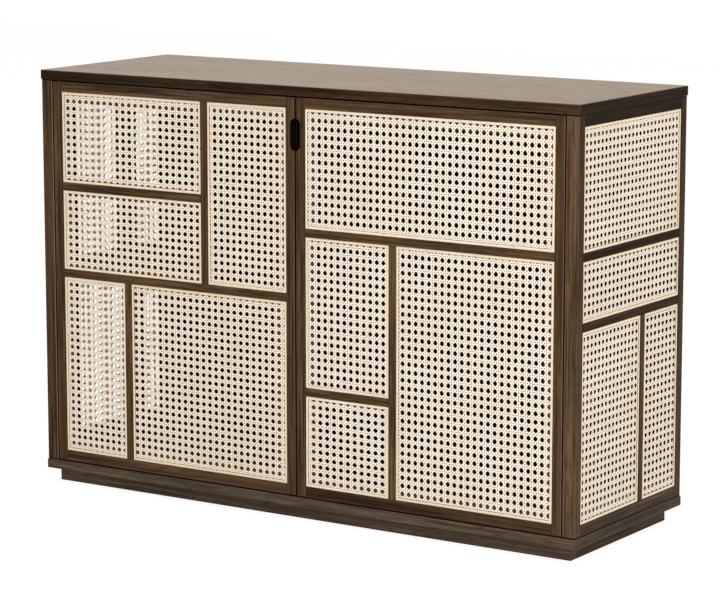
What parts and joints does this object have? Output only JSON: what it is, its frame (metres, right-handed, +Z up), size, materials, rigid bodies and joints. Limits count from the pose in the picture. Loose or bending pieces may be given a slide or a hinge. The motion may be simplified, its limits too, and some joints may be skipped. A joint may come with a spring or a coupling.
{
  "type": "record cabinet",
  "caption": "Low record cabinet on a recessed plinth, with inset pivot doors and framed sides of woven cane, a finger slot where the doors meet, and a shelf and partition inside.",
  "frame": {"origin": "on the floor, under the middle of the cabinet's outline", "axes": "+X to the viewer's right as the doors are faced, +Y from the doors to the back, +Z up"},
  "size_m": [1.06, 0.36, 0.723],
  "materials": {
    "stained_wood": "dark brown stain, open grain, satin",
    "inner_wood": "dark brown stain, matt",
    "cane": "six-way woven cane, natural",
    "reed": "natural reed, satin",
    "brass": "dark bronzed",
    "steel": "zinc plated",
    "catch_plastic": "brown, matt",
    "beech": "bare"
  },
  "bodies": {
    "carcase": {"back_panel": "inner_wood", "bottom_board": "stained_wood", "door_catches": "catch_plastic", "dowels": "beech", "left_shelf": "inner_wood", "left_side_bottom_rail": "stained_wood", "left_side_cane": "cane", "left_side_front_stile": "stained_wood", "left_side_lower_bar": "stained_wood", "left_side_lower_post": "stained_wood", "left_side_rear_stile": "stained_wood", "left_side_splines": "reed", "left_side_top_rail": "stained_wood", "left_side_upper_post": "stained_wood", "lower_pivots": "brass", "partition": "inner_wood", "plinth_back": "stained_wood", "plinth_front": "stained_wood", "plinth_left": "stained_wood", "plinth_right": "stained_wood", "right_shelf": "inner_wood", "right_side_bottom_rail": "stained_wood", "right_side_cane": "cane", "right_side_front_stile": "stained_wood", "right_side_lower_bar": "stained_wood", "right_side_lower_post": "stained_wood", "right_side_rear_stile": "stained_wood", "right_side_splines": "reed", "right_side_top_rail": "stained_wood", "right_side_upper_bar": "stained_wood", "top_board": "stained_wood", "upper_pivots": "brass"},
    "left_door": {"left_door_bottom_rail": "stained_wood", "left_door_bushes": "brass", "left_door_cane": "cane", "left_door_cross_bar": "stained_wood", "left_door_hinge_stile": "stained_wood", "left_door_lower_post": "stained_wood", "left_door_meeting_stile": "stained_wood", "left_door_splines": "reed", "left_door_strike_plate": "steel", "left_door_top_rail": "stained_wood", "left_door_upper_bar": "stained_wood", "left_door_upper_post": "stained_wood"},
    "right_door": {"right_door_bottom_rail": "stained_wood", "right_door_bushes": "brass", "right_door_cane": "cane", "right_door_cross_bar": "stained_wood", "right_door_hinge_stile": "stained_wood", "right_door_lower_bar": "stained_wood", "right_door_lower_post": "stained_wood", "right_door_meeting_stile": "stained_wood", "right_door_splines": "reed", "right_door_strike_plate": "steel", "right_door_top_rail": "stained_wood"}
  },
  "joints": [
    {"name": "left_door_pivot", "type": "hinge", "parent": "carcase", "child": "left_door", "pos_m": [-0.494, -0.1725, 0.3615], "axis": [0, 0, -1], "range_deg": [0, 110]},
    {"name": "right_door_pivot", "type": "hinge", "parent": "carcase", "child": "right_door", "pos_m": [0.494, -0.1725, 0.3615], "axis": [0, 0, 1], "range_deg": [0, 110]}
  ]
}
